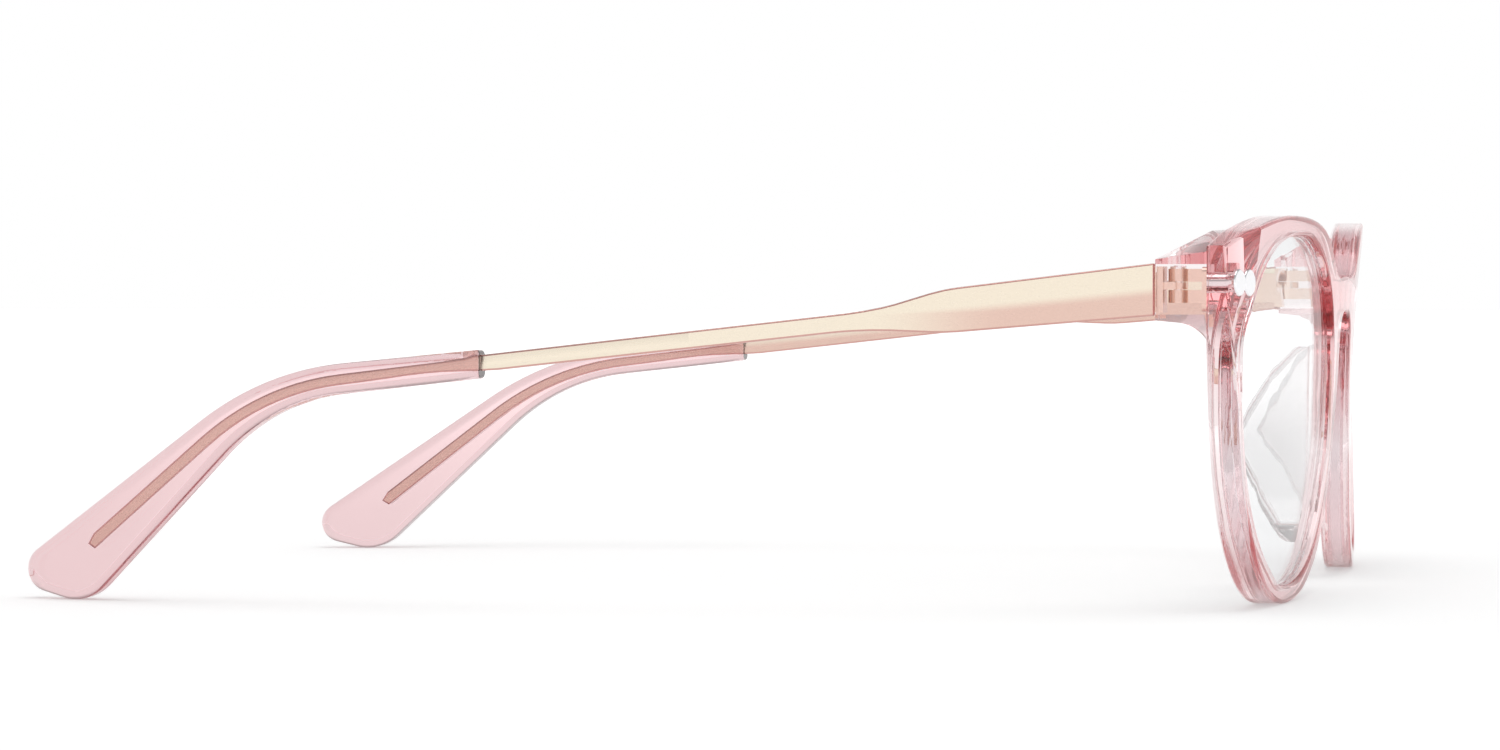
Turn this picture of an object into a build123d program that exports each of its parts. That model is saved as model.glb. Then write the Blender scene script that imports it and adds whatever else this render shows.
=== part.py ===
"""Blue light glasses: a curved acetate front, two clear lenses, glued nose pads,
riveted three-knuckle hinges, flat metal temples and acetate temple tips.

The glasses stand as they do on a table: +Z is up, the front faces -Y, the
temples run back along +Y and X = 0 is the mirror plane. The wearer's left side
is +X. Every side piece is modelled on the left and mirrored to the right.
Outlines give Y from the rims' lowest line, RIM_LINE_Y.
"""
from build123d import *
import os

os.makedirs("parts", exist_ok=True)

# Overall layout
FRONT_REACH = 4.97           # how far the bridge stands in front of the rims' lowest line
TEMPLE_REACH = 139.83        # how far the temple tips end behind it
RIM_LINE_Y = (FRONT_REACH - TEMPLE_REACH) / 2
REACH = 20                   # half length of a prism that passes every surface

# Acetate front
FRONT_THICKNESS = 3.6
BRIDGE_TOP_Z = 36.8
BRIDGE_UNDER_Z = 32.5
END_X = 63.0                 # outer side of each end piece
END_TOP_Z = 40.0
END_UNDER_Z = 32.5
EDGE_ROUND = 0.45
OUTLINE_STEPS = 4            # spans of each quarter of the lens opening's outline
GROOVE_WIDTH = 1.3
GROOVE_DEPTH = 0.7

# Joint between the front and the temples
JOINT_Y = 9.85
BLOCK_START_Y = 2.0
OPENING_LEDGE = 0.6          # how far the block stays off the lens opening
BLOCK_INSET = 0.2            # and how far inside the front's outline
JOINT_TOP_Z = 38.5
JOINT_UNDER_Z = 31.9
END_INNER_X = 57.3
END_WALL = 1.1
POCKET_UNDER_Z = 32.55
POCKET_TOP_Z = 38.0
SCREW_ACCESS_RADIUS = 1.05

# Lenses
LENS_THICKNESS = 2.0
LENS_PLAY = 0.03
TONGUE_WIDTH = 1.1
TONGUE_DEPTH = 0.6

# Nose pads
PAD_DEPTH = 8.2
PAD_SPLAY = 0.42             # sideways slope of the pads, per mm towards the face
PAD_ROUND = 0.7
GLUE_LINE = 0.03

# Hinge
AXIS_X = 58.5
AXIS_Y = 7.85
KNUCKLE_RADIUS = 1.08
KNUCKLE_LEVELS = [33.8, 35.2, 36.1, 37.5]
KNUCKLE_PLAY = 0.06
LEAF_SEAT_Y = 4.0            # back of the end piece's wall behind the studs
LEAF_SEAT_PLAY = 0.02
LEAF_THICKNESS = 0.9
LEAF_LEVELS = [32.8, 37.7]
SCREW_RADIUS = 0.5
SCREW_PLAY = 0.03
SCREW_HEAD_RADIUS = 0.9
SCREW_HEAD_HEIGHT = 0.35
SLOT_WIDTH = 0.3

# Twin-dot studs
STUD_RADIUS = 1.5
STUD_SPACING = 2.7
STUD_HEIGHT = 0.35
STUD_SINK = 0.15
STUD_X = 59.4
STUD_FACE_Y = 0.75           # where the front face crosses the middle of the studs
STUD_Z = 36.0
STUD_SWEEP = 0.3             # slope of the front face there
SHANK_RADIUS = 1.1
STUD_PLAY = 0.03
PIN_RADIUS = 0.5

# Metal temple
BAR_THICKNESS = 1.3
BAR_START_Y = 9.95
CORE_END_Y = 131.9
FLANGE_LEVELS = [32.75, 37.75]
TEMPLE_BEND_RADIUS = 140
CORE_SIDE_PLAY = 0.05

# Acetate tip
TIP_START_Y = 83.5
TIP_THICKNESS = 3.4
TIP_ROUND = 0.9
MOUTH_ROUND = 0.4

PLAN = Plane(origin=(0, RIM_LINE_Y, 0), x_dir=(1, 0, 0), z_dir=(0, 0, 1))
SIDE = Plane(origin=(0, RIM_LINE_Y, 0), x_dir=(0, 1, 0), z_dir=(1, 0, 0))
FACE = Plane(origin=(0, RIM_LINE_Y, 0), x_dir=(1, 0, 0), z_dir=(0, -1, 0))
BEHIND_FACE = FACE.offset(-REACH)
JOINT_PLANE = FACE.offset(-JOINT_Y)
STUD_PLANE = Plane(
    origin=(STUD_X, RIM_LINE_Y + STUD_FACE_Y, STUD_Z),
    x_dir=(1, STUD_SWEEP, 0),
    z_dir=(STUD_SWEEP, -1, 0),
)

# The middle surface of the front at its lowest and its highest level: its height, and
# how far back it lies at the mirror plane and at the end of the sheet.
SHEET_END_X = 66
SHEET_ARCS = [(-2, -1.6, 3.13), (46, -3.4, 3.2)]

# Three points of the flat that sweeps the front face back at each end piece.
SWEEP_POINTS = [(54.0, -0.95, 40.0), (END_X, 2.2, 40.0), (62.6, 0.9, 22.0)]

# The lens opening seen from the front, and its direction at every second point.
OPENING = [
    (36.0, 41.25),
    (52.7, 37.0),
    (60.4, 23.5),
    (53.6, 8.1),
    (36.5, 2.1),
    (18.7, 8.4),
    (11.2, 23.5),
    (17.9, 36.8),
]
OPENING_TURNS = [(1, 0), (0, -1), (-1, 0), (0, 1)]

# The temple's line in plan: its front run and its rear run, joined by one bend.
TEMPLE_LINE = [(61.95, BAR_START_Y), (70.55, 85.0), (57.0, 141.0)]


def curved_sheet(thickness):
    """The left half of a curved sheet that follows the front's middle surface."""
    half = thickness / 2
    with BuildPart() as sheet:
        for height, middle_y, end_y in SHEET_ARCS:
            with BuildSketch(PLAN.offset(height)):
                with BuildLine():
                    outer = TangentArc((0, middle_y - half), (SHEET_END_X, end_y - half), tangent=(1, 0))
                    inner = TangentArc((0, middle_y + half), (SHEET_END_X, end_y + half), tangent=(1, 0))
                    Line(outer @ 0, inner @ 0)
                    Line(outer @ 1, inner @ 1)
                make_face()
        loft(ruled=True)
    return sheet.part


def outline_prism():
    """The left half of the front's outline as a prism along Y."""
    with BuildPart() as prism:
        with BuildSketch(BEHIND_FACE):
            with BuildLine():
                brow = Spline(
                    (0, BRIDGE_TOP_Z),
                    (10, 37.2),
                    (17, 40.9),
                    (25, 42.9),
                    (36, 43.5),
                    (50, 42.8),
                    (57, 41.7),
                    (END_X, END_TOP_Z),
                    tangents=[(1, 0), (1, -0.3)],
                )
                rim = Spline(
                    (END_X, END_UNDER_Z),
                    (62.5, 25),
                    (60.4, 14.5),
                    (54.8, 6.0),
                    (47.5, 1.5),
                    (37, 0),
                    (24.5, 2.3),
                    (15, 8.6),
                    (9.2, 18),
                    (6.3, 27),
                    (0, BRIDGE_UNDER_Z),
                    tangents=[(0, -1), (-1, 0)],
                )
                Line(brow @ 1, rim @ 0)
                Line(rim @ 1, brow @ 0)
            make_face()
        extrude(amount=2 * REACH)
    return prism.part


def grown_line(line, growth):
    """A smooth copy of a line in the face plane, moved outwards by the growth."""
    points = []
    for step in range(OUTLINE_STEPS + 1):
        along = line % (step / OUTLINE_STEPS)
        points.append(line @ (step / OUTLINE_STEPS) + Vector(-along.Y, along.X) * growth)
    return Spline(points, tangents=[line % 0, line % 1])


def opening_prism(growth):
    """The lens opening's outline, grown on every side, as a prism along Y."""
    loop = OPENING + OPENING[:1]
    turns = OPENING_TURNS + OPENING_TURNS[:1]
    with BuildPart() as prism:
        with BuildSketch(BEHIND_FACE):
            with BuildLine():
                for quarter in range(4):
                    points = loop[2 * quarter:2 * quarter + 3]
                    line = Spline(points, tangents=turns[quarter:quarter + 2], mode=Mode.PRIVATE)
                    grown_line(line, growth)
            make_face()
        extrude(amount=2 * REACH)
    return prism.part


def border_edges(faces):
    """The edges that belong to one of the faces only, off the mirror plane."""
    edges = [edge for face in faces for edge in face.edges()]
    return [edge for edge in edges if edges.count(edge) == 1 and edge.center().X > 0.1]


def plane_through(points):
    """The plane through three points given from the rims' lowest line, facing back."""
    first, second, third = [Vector(x, y + RIM_LINE_Y, z) for x, y, z in points]
    normal = (second - first).cross(third - first)
    if normal.Y < 0:
        normal = -normal
    return Plane(origin=first, x_dir=second - first, z_dir=normal)


def upright_box(x_range, y_range, z_range):
    """A box between limits given from the rims' lowest line."""
    with BuildPart() as block:
        with Locations((x_range[0], y_range[0] + RIM_LINE_Y, z_range[0])):
            Box(
                x_range[1] - x_range[0],
                y_range[1] - y_range[0],
                z_range[1] - z_range[0],
                align=(Align.MIN, Align.MIN, Align.MIN),
            )
    return block.part


def axis_cylinder(radius, low, high):
    """A cylinder on the hinge axis."""
    with BuildPart() as post:
        with Locations((AXIS_X, AXIS_Y + RIM_LINE_Y, low)):
            Cylinder(radius, high - low, align=(Align.CENTER, Align.CENTER, Align.MIN))
    return post.part


def shank_pair(radius, start_y, end_y):
    """Two round shanks behind a stud's dots, from a level under the sloping face."""
    with BuildPart() as pair:
        for side in (-1, 1):
            x = STUD_X + side * STUD_SPACING / 2 * STUD_PLANE.x_dir.X
            y = start_y + side * STUD_SPACING / 2 * STUD_PLANE.x_dir.Y
            with Locations(Location((x, RIM_LINE_Y + y, STUD_Z), (-90, 0, 0))):
                Cylinder(radius, end_y - y, align=(Align.CENTER, Align.CENTER, Align.MIN))
    return pair.part


def stud_prism(radius, low, high):
    """The twin-dot outline as a prism between two levels of the stud's plane."""
    with BuildPart() as prism:
        with BuildSketch(STUD_PLANE.offset(low)):
            with Locations((-STUD_SPACING / 2, 0), (STUD_SPACING / 2, 0)):
                Circle(radius)
        extrude(amount=high - low)
    return prism.part


def temple_band(thickness):
    """An upright band of even thickness along the temple's line in plan."""
    with BuildPart() as band:
        with BuildSketch(PLAN.offset(-REACH)):
            with BuildLine():
                FilletPolyline(TEMPLE_LINE, radius=TEMPLE_BEND_RADIUS)
            trace(line_width=thickness)
        extrude(amount=5 * REACH)
    return band.part


def save(piece, name):
    """Label a finished piece and write it as its own STEP file."""
    piece.label = name
    export_step(piece, f"parts/{name}.step")


def save_pair(piece, name):
    """Write a left-hand piece and its mirror image."""
    with BuildPart() as mirrored:
        mirror(piece, about=Plane.YZ)
    save(mirrored.part, f"{name}_right")
    save(piece, f"{name}_left")


# ---------------------------------------------------------------- acetate front

with BuildPart() as rim_half:
    # Half of the front sheet with its lens opening, every edge rounded.
    add(curved_sheet(FRONT_THICKNESS))
    add(outline_prism(), mode=Mode.INTERSECT)
    split(bisect_by=plane_through(SWEEP_POINTS), keep=Keep.TOP)
    add(opening_prism(0), mode=Mode.SUBTRACT)
    for facing in (-1, 1):
        broad_faces = rim_half.faces().filter_by(lambda face: face.normal_at().Y * facing > 0.8)
        fillet(border_edges(broad_faces), radius=EDGE_ROUND)

with BuildPart() as end_block:
    # The block behind the front that holds the hinge, lofted from the joint forwards.
    with BuildSketch(JOINT_PLANE):
        with BuildLine():
            Polyline(
                (END_INNER_X, 24),
                (END_X, 24),
                (END_X, JOINT_TOP_Z),
                (END_INNER_X, JOINT_TOP_Z + 0.4),
                close=True,
            )
        make_face()
    with BuildSketch(JOINT_PLANE.offset(JOINT_Y - BLOCK_START_Y)):
        with BuildLine():
            Polyline((55.0, 24), (END_X, 24), (END_X, 39.6), (55.0, 43.0), close=True)
        make_face()
    loft(ruled=True)
    # Its underside sweeps down into the back of the rim.
    with BuildSketch(SIDE.offset(50)):
        with BuildLine():
            under = FilletPolyline(
                (12, JOINT_UNDER_Z + 0.2),
                (4.3, JOINT_UNDER_Z - 0.5),
                (2.4, 22),
                radius=4.2,
            )
            Polyline(under @ 1, (0, 22), (0, 45), (12, 45), under @ 0)
        make_face()
    extrude(amount=REACH, mode=Mode.INTERSECT)
    add(outline_prism().moved(Location((-BLOCK_INSET, 0, -BLOCK_INSET))), mode=Mode.INTERSECT)
    add(opening_prism(OPENING_LEDGE), mode=Mode.SUBTRACT)

with BuildPart() as front_half:
    add(rim_half.part)
    add(end_block.part)

    # The groove that holds the lens.
    add(opening_prism(GROOVE_DEPTH).intersect(curved_sheet(GROOVE_WIDTH)), mode=Mode.SUBTRACT)

    # The hinge pocket, open behind and towards the face, and the way in for the screw.
    pocket = upright_box((50, END_X - END_WALL), (LEAF_SEAT_Y, 12), (POCKET_UNDER_Z, POCKET_TOP_Z))
    add(pocket, mode=Mode.SUBTRACT)
    add(axis_cylinder(SCREW_ACCESS_RADIUS, POCKET_TOP_Z, 45), mode=Mode.SUBTRACT)

    # The studs' seat and the holes for their shanks.
    add(stud_prism(STUD_RADIUS, -STUD_SINK, 2), mode=Mode.SUBTRACT)
    add(shank_pair(SHANK_RADIUS + STUD_PLAY, STUD_FACE_Y, LEAF_SEAT_Y), mode=Mode.SUBTRACT)

with BuildPart() as front_frame:
    add(front_half.part)
    mirror(about=Plane.YZ)
save(front_frame.part, "front_frame")

# ---------------------------------------------------------------- lenses

with BuildPart() as lens:
    add(opening_prism(-LENS_PLAY).intersect(curved_sheet(LENS_THICKNESS)))
    add(opening_prism(TONGUE_DEPTH).intersect(curved_sheet(TONGUE_WIDTH)))
save_pair(lens.part, "lens")

# ---------------------------------------------------------------- nose pads

with BuildPart() as pad_blank:
    # A crescent along the rim's nose side, drawn out backwards and outwards.
    with BuildSketch(FACE):
        with BuildLine():
            nose_side = Spline((6.4, 28.5), (7.9, 22.5), (10.0, 16.0), (13.2, 10.4), (17.2, 5.9))
            lens_side = Spline((9.3, 28.5), (10.6, 23.5), (12.6, 17.2), (15.6, 12.0), (19.0, 7.9))
            Line(nose_side @ 0, lens_side @ 0)
            Line(nose_side @ 1, lens_side @ 1)
        make_face()
    extrude(amount=PAD_DEPTH + 2, dir=(PAD_SPLAY, 1, 0))
    with BuildSketch(SIDE):
        with BuildLine():
            upper = Spline((-3, 30.6), (0.4, 29.1), (5.1, 23.4), (PAD_DEPTH, 17.4))
            lower = Spline(upper @ 1, (5.1, 11.6), (1.1, 4.9), (-3, 1.5))
            Line(lower @ 1, upper @ 0)
        make_face()
    extrude(amount=2 * REACH, mode=Mode.INTERSECT)
    pad_sides = pad_blank.edges().filter_by(lambda edge: edge.center().Y > RIM_LINE_Y + 1)
    fillet(pad_sides, radius=PAD_ROUND)
    # It ends on the rim's back, a glue line away from it.
    add(front_half.part.moved(Location((0, GLUE_LINE, 0))), mode=Mode.SUBTRACT)

with BuildPart() as nose_pad:
    add(pad_blank.solids().sort_by(Axis.Y)[-1])
save_pair(nose_pad.part, "nose_pad")

# ---------------------------------------------------------------- twin-dot studs

def stud_dot(side):
    """One round, soft-edged dot of a stud."""
    with BuildPart() as dot:
        with BuildSketch(STUD_PLANE.offset(-STUD_SINK)):
            with Locations((side * STUD_SPACING / 2, 0)):
                Circle(STUD_RADIUS - STUD_PLAY)
        extrude(amount=STUD_SINK + STUD_HEIGHT)
        fillet(dot.edges().sort_by(Axis.Y)[0], radius=STUD_HEIGHT * 0.6)
    return dot.part


with BuildPart() as stud:
    add(stud_dot(-1))
    add(stud_dot(1))
    add(shank_pair(SHANK_RADIUS, STUD_FACE_Y + STUD_SINK / 2, LEAF_SEAT_Y))
    add(shank_pair(PIN_RADIUS, STUD_FACE_Y + STUD_SINK, LEAF_SEAT_Y + LEAF_THICKNESS))
    # Each shank is relieved where the lens's tongue passes it.
    add(opening_prism(GROOVE_DEPTH), mode=Mode.SUBTRACT)
save_pair(stud.part, "stud")

# ---------------------------------------------------------------- hinges

with BuildPart() as front_leaf:
    # A plate riveted behind the front face, with the outer two knuckles.
    leaf_back = LEAF_SEAT_Y + LEAF_THICKNESS
    add(upright_box((55.6, 61.4), (LEAF_SEAT_Y + LEAF_SEAT_PLAY, leaf_back), LEAF_LEVELS))
    fillet(front_leaf.edges().filter_by(Axis.Y), radius=0.6)
    for low, high in (KNUCKLE_LEVELS[0:2], KNUCKLE_LEVELS[2:4]):
        add(axis_cylinder(KNUCKLE_RADIUS, low, high))
        add(upright_box((AXIS_X - KNUCKLE_RADIUS, AXIS_X + 0.1), (leaf_back, AXIS_Y), (low, high)))
    add(axis_cylinder(SCREW_RADIUS + SCREW_PLAY, 30, 40), mode=Mode.SUBTRACT)
    add(shank_pair(PIN_RADIUS, STUD_FACE_Y, leaf_back), mode=Mode.SUBTRACT)
save_pair(front_leaf.part, "hinge_front_leaf")

with BuildPart() as temple_leaf:
    # The middle knuckle, on a plate that runs back along the temple's inner face.
    low = KNUCKLE_LEVELS[1] + KNUCKLE_PLAY
    high = KNUCKLE_LEVELS[2] - KNUCKLE_PLAY
    add(axis_cylinder(KNUCKLE_RADIUS, low, high))
    add(upright_box((AXIS_X, 60.9), (AXIS_Y, 9.3), (low, high)))
    add(upright_box((57.7, 61.3), (9.15, 9.85), FLANGE_LEVELS))
    add(upright_box((60.3, 61.2), (9.15, 16.5), (33.3, 37.1)))
    add(axis_cylinder(SCREW_RADIUS + SCREW_PLAY, 30, 40), mode=Mode.SUBTRACT)
    add(temple_band(BAR_THICKNESS), mode=Mode.SUBTRACT)
save_pair(temple_leaf.part, "hinge_temple_leaf")

with BuildPart() as screw:
    add(axis_cylinder(SCREW_RADIUS, KNUCKLE_LEVELS[0], KNUCKLE_LEVELS[3]))
    add(axis_cylinder(SCREW_HEAD_RADIUS, KNUCKLE_LEVELS[3], KNUCKLE_LEVELS[3] + SCREW_HEAD_HEIGHT))
    slot_floor = KNUCKLE_LEVELS[3] + SCREW_HEAD_HEIGHT / 2
    slot = upright_box((55, 62), (AXIS_Y - SLOT_WIDTH / 2, AXIS_Y + SLOT_WIDTH / 2), (slot_floor, 40))
    add(slot, mode=Mode.SUBTRACT)
save_pair(screw.part, "hinge_screw")

# ---------------------------------------------------------------- metal temples

def temple_prism():
    """The metal temple's side outline, bar and core in one, as a prism along X."""
    with BuildPart() as prism:
        with BuildSketch(SIDE.offset(40)):
            with BuildLine():
                bar_top = Line((BAR_START_Y, 38.1), (31.0, 35.5))
                shoulder = Spline(bar_top @ 1, (38.2, 33.6), (47.5, 32.15), tangents=[(1, -0.123), (1, -0.114)])
                neck_top = Line(shoulder @ 1, (83.6, 28.04))
                core_top = Spline(neck_top @ 1, (87.5, 27.35), (98, 26.1), tangents=[(1, -0.3), (1, -0.12)])
                drop_top = FilletPolyline(core_top @ 1, (109.7, 24.7), (CORE_END_Y - 0.7, 7.55), radius=34)
                tip_top = Line(drop_top @ 1, (CORE_END_Y, 6.4))
                tip_under = Line(tip_top @ 1, (CORE_END_Y - 0.9, 5.85))
                drop_under = FilletPolyline(tip_under @ 1, (109.1, 23.55), (98, 24.9), radius=32)
                core_under = Spline(drop_under @ 1, (88, 26.15), (81.5, 26.42), tangents=[(-1, 0.12), (-1, 0.08)])
                neck_under = Line(core_under @ 1, (45, 30.45))
                haunch = Spline(neck_under @ 1, (38, 30.72), (31, 30.62), tangents=[(-1, 0.111), (-1, 0.09)])
                bar_under = Line(haunch @ 1, (BAR_START_Y, 32.4))
                Line(bar_under @ 1, bar_top @ 0)
            make_face()
        extrude(amount=2 * REACH)
    return prism.part


with BuildPart() as temple:
    add(temple_prism())
    add(temple_band(BAR_THICKNESS), mode=Mode.INTERSECT)
save_pair(temple.part, "temple")

# ---------------------------------------------------------------- acetate tips

with BuildPart() as temple_tip:
    with BuildSketch(SIDE.offset(40)):
        with BuildLine():
            outline = FilletPolyline(
                (TIP_START_Y, 28.65),
                (109.45, 26.15),
                (143.4, 2.3),
                (132.2, -0.6),
                (108.4, 22.65),
                (TIP_START_Y, 25.45),
                radius=[37, 2.65, 5.49, 25],
            )
            Line(outline @ 1, outline @ 0)
        make_face()
    extrude(amount=2 * REACH)
    add(temple_band(TIP_THICKNESS), mode=Mode.INTERSECT)
    # Round the tip along both sides, and a little at its mouth.
    flanks = temple_tip.faces().filter_by(lambda face: abs(face.normal_at().X) > 0.9)
    flank_edges = [edge for face in flanks for edge in face.edges()]
    outer_edges = [edge for edge in flank_edges if flank_edges.count(edge) == 1]
    mouth_y = RIM_LINE_Y + TIP_START_Y
    fillet([edge for edge in outer_edges if edge.center().Y > mouth_y + 0.1], radius=TIP_ROUND)
    fillet(temple_tip.faces().sort_by(Axis.Y)[0].edges(), radius=MOUTH_ROUND)

    # The core's slot fits it above and below, with a little play at its sides.
    slot = temple_prism().intersect(temple_band(BAR_THICKNESS + 2 * CORE_SIDE_PLAY))
    add(slot, mode=Mode.SUBTRACT)
save_pair(temple_tip.part, "temple_tip")
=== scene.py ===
import math

import bpy
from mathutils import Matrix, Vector


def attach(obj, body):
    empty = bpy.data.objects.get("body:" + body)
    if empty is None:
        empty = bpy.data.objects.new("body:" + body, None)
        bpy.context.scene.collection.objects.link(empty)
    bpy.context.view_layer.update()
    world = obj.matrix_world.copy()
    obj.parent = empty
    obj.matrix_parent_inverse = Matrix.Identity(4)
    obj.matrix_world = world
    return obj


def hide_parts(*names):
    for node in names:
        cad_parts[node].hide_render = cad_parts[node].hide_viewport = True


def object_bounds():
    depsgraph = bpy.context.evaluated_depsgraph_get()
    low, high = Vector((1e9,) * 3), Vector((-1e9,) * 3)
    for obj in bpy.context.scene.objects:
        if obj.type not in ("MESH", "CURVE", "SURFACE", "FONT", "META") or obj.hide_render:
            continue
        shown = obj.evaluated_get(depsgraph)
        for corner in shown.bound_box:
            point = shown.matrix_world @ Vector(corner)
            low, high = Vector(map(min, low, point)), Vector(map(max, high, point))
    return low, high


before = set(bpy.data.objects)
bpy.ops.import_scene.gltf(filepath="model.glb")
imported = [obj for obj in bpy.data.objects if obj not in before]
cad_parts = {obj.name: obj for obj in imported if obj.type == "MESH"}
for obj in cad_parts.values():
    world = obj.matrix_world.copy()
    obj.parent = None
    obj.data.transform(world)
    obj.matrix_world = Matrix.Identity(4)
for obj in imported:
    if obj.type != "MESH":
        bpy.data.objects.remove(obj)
first_low, first_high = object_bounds()

# The camera stands to the wearer's right, a little ahead of the hinges and level with them.
CAMERA_FROM_CENTRE = Vector((-0.6173, -0.1325, 0.0142))
CAMERA_HEADING = math.radians(12.17)
CAMERA_PITCH = math.radians(-1.02)
LENS_MM = 123.99
SENSOR_MM = 36.0
CLIP = (0.01, 30)

# The room is white round the horizon and darker overhead, which draws the clear edges.
SKY_FADE = (0.25, 0.6)
SKY_TOP = 0.45

# The floor is flat and glows by itself, more so away from the glasses.
FLOOR_SIZE = 12.0
FLOOR_GLOW = (0.27, 0.62)
GLOW_REACH = (0.15, 0.9)

# One soft lamp stands above the glasses, a little to the camera's side of them.
LAMP_OFFSET = Vector((-0.1, -0.1, 1.2))
LAMP_SIZE = 1.0
LAMP_POWER = 4.6

# Light passes many clear walls before it reaches the camera.
BOUNCES = 40

# The soft line between the two tones of a temple's bar, which are a painted reflection: its height
# above the floor at the middle of the glasses, its fall to the rear, and where it fades out. The tones
# are colours fixed to the bar, so they stay where they are when the light changes.
PAINTED_REFLECTION_HEIGHT = 0.0292
PAINTED_REFLECTION_SLOPE = 0.1014
PAINTED_REFLECTION_SOFTNESS = 0.0006
PAINTED_REFLECTION_FADE = (-0.042, -0.026)
TIP_MOUTH = 0.0165

# How a temple's sharp edges are broken.
WELD_DISTANCE = 0.000005
FLAT_ANGLE = math.radians(0.3)
EDGE_ANGLE = math.radians(40)
EDGE_WIDTH = 0.0002
EDGE_SEGMENTS = 3

# The depth of the finest relief on each kind of surface.
PLASTIC_RELIEF = 0.00002
METAL_RELIEF = 0.00001

SIDES = ("right", "left")


# ---------------------------------------------------------------- material helpers


class Shader:
    """A small builder for one procedural material."""

    def __init__(self, name):
        self.material = bpy.data.materials.new(name)
        self.material.use_nodes = True
        self.nodes = self.material.node_tree.nodes
        self.links = self.material.node_tree.links
        self.surface = self.nodes["Principled BSDF"]
        self.output = self.nodes["Material Output"]
        coordinates = self.nodes.new("ShaderNodeTexCoord")
        self.place, self.facing = coordinates.outputs["Object"], coordinates.outputs["Normal"]

    def set(self, **values):
        """Constants on the surface shader's own sockets."""
        for name, value in values.items():
            self.surface.inputs[name.replace("_", " ")].default_value = value

    def noise(self, scale, detail=3.0, stretch=(1, 1, 1)):
        """A noise pattern fixed to the object, of so many cells per metre."""
        mapping = self.nodes.new("ShaderNodeMapping")
        mapping.inputs["Scale"].default_value = stretch
        pattern = self.nodes.new("ShaderNodeTexNoise")
        pattern.inputs["Scale"].default_value = scale
        pattern.inputs["Detail"].default_value = detail
        self.links.new(self.place, mapping.inputs["Vector"])
        self.links.new(mapping.outputs["Vector"], pattern.inputs["Vector"])
        return pattern.outputs["Fac"]

    def span(self, value, low, high):
        """Maps a 0 to 1 value onto a range."""
        ramp = self.nodes.new("ShaderNodeMapRange")
        ramp.inputs["To Min"].default_value = low
        ramp.inputs["To Max"].default_value = high
        self.links.new(value, ramp.inputs["Value"])
        return ramp.outputs["Result"]

    def mix(self, value, first, second):
        """A colour that goes from the first to the second."""
        blend = self.nodes.new("ShaderNodeMix")
        blend.data_type = "RGBA"
        blend.inputs["A"].default_value = (*first, 1)
        blend.inputs["B"].default_value = (*second, 1)
        self.links.new(value, blend.inputs["Factor"])
        return blend.outputs["Result"]

    def across(self, direction, low, high):
        """0 to 1, smoothly, along a direction in metres of the object."""
        along = self.nodes.new("ShaderNodeVectorMath")
        along.operation = "DOT_PRODUCT"
        along.inputs[1].default_value = direction
        ramp = self.nodes.new("ShaderNodeMapRange")
        ramp.interpolation_type = "SMOOTHSTEP"
        ramp.inputs["From Min"].default_value = low
        ramp.inputs["From Max"].default_value = high
        self.links.new(self.place, along.inputs[0])
        self.links.new(along.outputs["Value"], ramp.inputs["Value"])
        return ramp.outputs["Result"]

    def outward(self):
        """1 where the surface faces away from the mirror plane, 0 where it faces inwards."""
        sides = []
        for output in (self.place, self.facing):
            parts = self.nodes.new("ShaderNodeSeparateXYZ")
            self.links.new(output, parts.inputs["Vector"])
            sides.append(parts.outputs["X"])
        test = self.nodes.new("ShaderNodeMath")
        test.operation = "GREATER_THAN"
        test.inputs[1].default_value = 0
        self.links.new(self.times(*sides), test.inputs[0])
        return test.outputs["Value"]

    def away(self, near, far):
        """0 to 1 with the distance from the object's origin."""
        distance = self.nodes.new("ShaderNodeVectorMath")
        distance.operation = "LENGTH"
        ramp = self.nodes.new("ShaderNodeMapRange")
        ramp.inputs["From Min"].default_value = near
        ramp.inputs["From Max"].default_value = far
        self.links.new(self.place, distance.inputs[0])
        self.links.new(distance.outputs["Value"], ramp.inputs["Value"])
        return ramp.outputs["Result"]

    def either(self, first, second):
        """The larger of two values."""
        larger = self.nodes.new("ShaderNodeMath")
        larger.operation = "MAXIMUM"
        self.links.new(first, larger.inputs[0])
        self.links.new(second, larger.inputs[1])
        return larger.outputs["Value"]

    def times(self, first, second):
        """The product of two values."""
        product = self.nodes.new("ShaderNodeMath")
        product.operation = "MULTIPLY"
        self.links.new(first, product.inputs[0])
        self.links.new(second, product.inputs[1])
        return product.outputs["Value"]

    def drive(self, socket, value):
        """Lets a pattern set one of the surface shader's sockets."""
        self.links.new(value, self.surface.inputs[socket])

    def bump(self, value, strength, distance):
        """Fine relief of a real depth in metres."""
        relief = self.nodes.new("ShaderNodeBump")
        relief.inputs["Strength"].default_value = strength
        relief.inputs["Distance"].default_value = distance
        self.links.new(value, relief.inputs["Height"])
        self.links.new(relief.outputs["Normal"], self.surface.inputs["Normal"])

    def absorb(self, colour, density):
        """Colour that deepens with the thickness of the material."""
        volume = self.nodes.new("ShaderNodeVolumeAbsorption")
        volume.inputs["Color"].default_value = (*colour, 1)
        volume.inputs["Density"].default_value = density
        self.links.new(volume.outputs["Volume"], self.output.inputs["Volume"])


def clear_plastic(name, surface, colour, density, roughness, ior):
    """Polished clear plastic whose tint comes from its thickness."""
    shader = Shader(name)
    shader.set(Transmission_Weight=1.0, IOR=ior)
    cloud = shader.noise(260, 4)
    darker = tuple(0.985 * part for part in surface)
    shader.drive("Base Color", shader.mix(cloud, darker, surface))
    shader.drive("Roughness", shader.span(shader.noise(900, 2), roughness * 0.6, roughness * 1.4))
    shader.bump(shader.noise(60, 2), 0.05, PLASTIC_RELIEF)
    shader.absorb(colour, density)
    return shader.material


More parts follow.
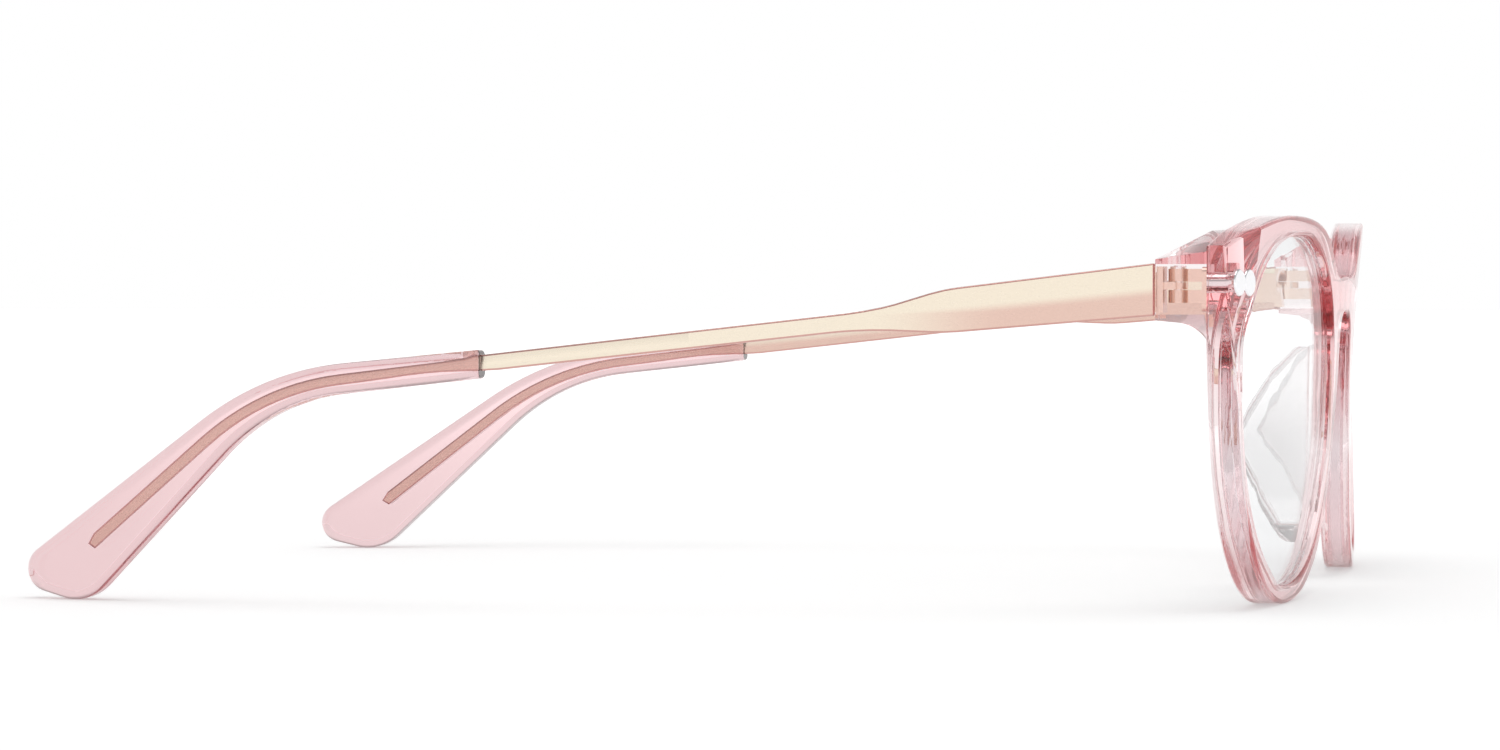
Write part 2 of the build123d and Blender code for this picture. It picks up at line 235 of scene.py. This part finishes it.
def polished_metal(name, light, dark, roughness, grain):
    """Plated metal with a fine polishing grain along the temple."""
    shader = Shader(name)
    shader.set(Metallic=1.0, IOR=1.5)
    shader.drive("Base Color", shader.mix(shader.noise(90, 3), dark, light))
    lines = shader.noise(grain, 3, (40, 1, 40))
    shader.drive("Roughness", shader.span(lines, roughness * 0.75, roughness * 1.25))
    shader.bump(lines, 0.08, METAL_RELIEF)
    return shader.material


def metal_with_painted_reflection(name, painted_reflection_colour, lower):
    """Satin plating with a painted reflection: pale gold above a soft line along the bar, rose below it
    and in the tip.

    Behind the fade, the whole outward side of the bar is pale gold too, also painted reflection.
    """
    shader = Shader(name)
    shader.set(Metallic=1.0, IOR=1.5)
    line = (PAINTED_REFLECTION_HEIGHT - PAINTED_REFLECTION_SOFTNESS, PAINTED_REFLECTION_HEIGHT + PAINTED_REFLECTION_SOFTNESS)
    height = shader.across((0, PAINTED_REFLECTION_SLOPE, 1), *line)
    # The outward side behind the fade gets the light colour too, as painted reflection.
    behind = shader.times(shader.across((0, 1, 0), *PAINTED_REFLECTION_FADE), shader.outward())
    clouds = shader.span(shader.noise(90, 3), 0.92, 1.0)
    bare = shader.across((0, -1, 0), -TIP_MOUTH, -TIP_MOUTH + 0.001)
    # Where the light colour of the painted reflection goes on the bar.
    painted_reflection_mask = shader.times(shader.times(shader.either(height, behind), bare), clouds)
    shader.drive("Base Color", shader.mix(painted_reflection_mask, lower, painted_reflection_colour))
    lines = shader.noise(300, 3, (40, 1, 40))
    shader.drive("Roughness", shader.span(lines, 0.2, 0.32))
    shader.bump(lines, 0.08, METAL_RELIEF)
    return shader.material


# ---------------------------------------------------------------- finishes

# A real lens has an index near 1.5 and often a coating. This low index was chosen
# against the photo: it reflects far less, but it also bends light less than a lens does.
COATED_IOR = 1.12

ACETATE_IOR = 1.49
PAD_IOR = 1.52

acetate = clear_plastic("pink_acetate", (1.0, 0.985, 0.985), (0.87, 0.42, 0.44), 150, 0.02, ACETATE_IOR)
tip_acetate = clear_plastic(
    "pink_tip_acetate", (1.0, 0.98, 0.98), (0.78, 0.40, 0.43), 215, 0.02, ACETATE_IOR
)
pad_clear = clear_plastic("clear_pad", (0.95, 0.94, 0.94), (0.84, 0.82, 0.82), 120, 0.03, PAD_IOR)
lens_clear = clear_plastic(
    "coated_lens", (0.90, 0.905, 0.91), (0.95, 0.96, 0.97), 40, 0.0, COATED_IOR
)
# The temples' two tones are a painted reflection fixed to the bar.
temple_metal = metal_with_painted_reflection("rose_gold_painted_reflection", (0.88, 0.79, 0.65), (0.76, 0.54, 0.46))
# Rose-brown for the temples' rounded edges: a painted dark reflection.
painted_dark_edge_reflection = polished_metal("rose_brown_painted_dark_reflection", (0.68, 0.40, 0.36), (0.60, 0.33, 0.29), 0.25, 300)
hinge_metal = polished_metal("pale_hinge_metal", (0.90, 0.72, 0.62), (0.84, 0.64, 0.53), 0.22, 400)
silver = polished_metal("polished_silver", (0.93, 0.93, 0.94), (0.88, 0.88, 0.90), 0.12, 600)

FINISHES = {
    "front_frame": acetate,
    "lens": lens_clear,
    "nose_pad": pad_clear,
    "stud": silver,
    "hinge_front_leaf": hinge_metal,
    "hinge_temple_leaf": hinge_metal,
    "hinge_screw": silver,
    "temple": temple_metal,
    "temple_tip": tip_acetate,
}

for node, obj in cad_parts.items():
    family = node.removesuffix("_right").removesuffix("_left")
    obj.data.materials.clear()
    obj.data.materials.append(FINISHES[family])


# ---------------------------------------------------------------- softened metal edges


def softened(node, body, width):
    """A copy of a metal piece whose sharp edges are broken by a small round, coloured darker as a
    painted dark reflection.
    """
    piece = bpy.data.objects.new(f"{node}_finished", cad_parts[node].data.copy())
    bpy.context.scene.collection.objects.link(piece)
    weld = piece.modifiers.new("weld", "WELD")
    weld.merge_threshold = WELD_DISTANCE
    flats = piece.modifiers.new("flats", "DECIMATE")
    flats.decimate_type = "DISSOLVE"
    flats.angle_limit = FLAT_ANGLE
    bevel = piece.modifiers.new("bevel", "BEVEL")
    bevel.width = width
    bevel.segments = EDGE_SEGMENTS
    bevel.limit_method = "ANGLE"
    bevel.angle_limit = EDGE_ANGLE
    bevel.harden_normals = True
    # The rounds take the darker rose-brown finish, a painted dark reflection along the edges.
    bevel.material = 1
    piece.data.materials.append(painted_dark_edge_reflection)
    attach(piece, body)
    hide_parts(node)


for side in SIDES:
    softened(f"temple_{side}", f"temple_{side}", EDGE_WIDTH)


# ---------------------------------------------------------------- stage


def floor():
    """A wide, flat, pale floor under the glasses."""
    bpy.ops.mesh.primitive_plane_add(size=FLOOR_SIZE, location=(0, 0, first_low.z))
    plane = bpy.context.object
    plane.name = "floor"
    shader = Shader("pale_floor")
    shader.set(Roughness=0.9, Emission_Color=(1, 1, 1, 1))
    shader.drive("Emission Strength", shader.span(shader.away(*GLOW_REACH), *FLOOR_GLOW))
    clouds = shader.noise(3, 2)
    shader.drive("Base Color", shader.mix(clouds, (0.93, 0.93, 0.93), (0.94, 0.94, 0.94)))
    plane.data.materials.append(shader.material)


def softbox(name, place, aim, width, height, power):
    """A large soft lamp turned to a point."""
    data = bpy.data.lights.new(name, "AREA")
    data.shape = "RECTANGLE"
    data.size, data.size_y = width, height
    data.energy = power
    lamp = bpy.data.objects.new(name, data)
    lamp.location = place
    lamp.rotation_mode = "QUATERNION"
    lamp.rotation_quaternion = (Vector(aim) - Vector(place)).to_track_quat("-Z", "Y")
    bpy.context.scene.collection.objects.link(lamp)


def studio():
    """A bright room, darker overhead, and the lamp."""
    world = bpy.data.worlds.new("studio")
    world.use_nodes = True
    nodes, links = world.node_tree.nodes, world.node_tree.links
    direction = nodes.new("ShaderNodeTexCoord")
    parts = nodes.new("ShaderNodeSeparateXYZ")
    ramp = nodes.new("ShaderNodeMapRange")
    ramp.interpolation_type = "SMOOTHSTEP"
    ramp.inputs["From Min"].default_value, ramp.inputs["From Max"].default_value = SKY_FADE
    ramp.inputs["To Min"].default_value, ramp.inputs["To Max"].default_value = 1.0, SKY_TOP
    links.new(direction.outputs["Generated"], parts.inputs["Vector"])
    links.new(parts.outputs["Z"], ramp.inputs["Value"])
    links.new(ramp.outputs["Result"], nodes["Background"].inputs["Strength"])
    nodes["Background"].inputs["Color"].default_value = (1, 1, 1, 1)
    bpy.context.scene.world = world
    middle = (first_low + first_high) / 2
    softbox("overhead", middle + LAMP_OFFSET, middle, LAMP_SIZE, LAMP_SIZE, LAMP_POWER)


def camera():
    """The camera, fitted to the photo, level with the hinges and ahead of them."""
    data = bpy.data.cameras.new("camera")
    data.lens = LENS_MM
    data.sensor_width = SENSOR_MM
    data.clip_start, data.clip_end = CLIP
    eye = bpy.data.objects.new("camera", data)
    eye.location = (first_low + first_high) / 2 + CAMERA_FROM_CENTRE
    eye.rotation_euler = (math.pi / 2 + CAMERA_PITCH, 0, CAMERA_HEADING - math.pi / 2)
    bpy.context.scene.collection.objects.link(eye)
    bpy.context.scene.camera = eye


floor()
studio()
camera()
bpy.context.scene.view_settings.view_transform = "Standard"
for limit in ("max_bounces", "transmission_bounces", "glossy_bounces", "transparent_max_bounces"):
    setattr(bpy.context.scene.cycles, limit, BOUNCES)
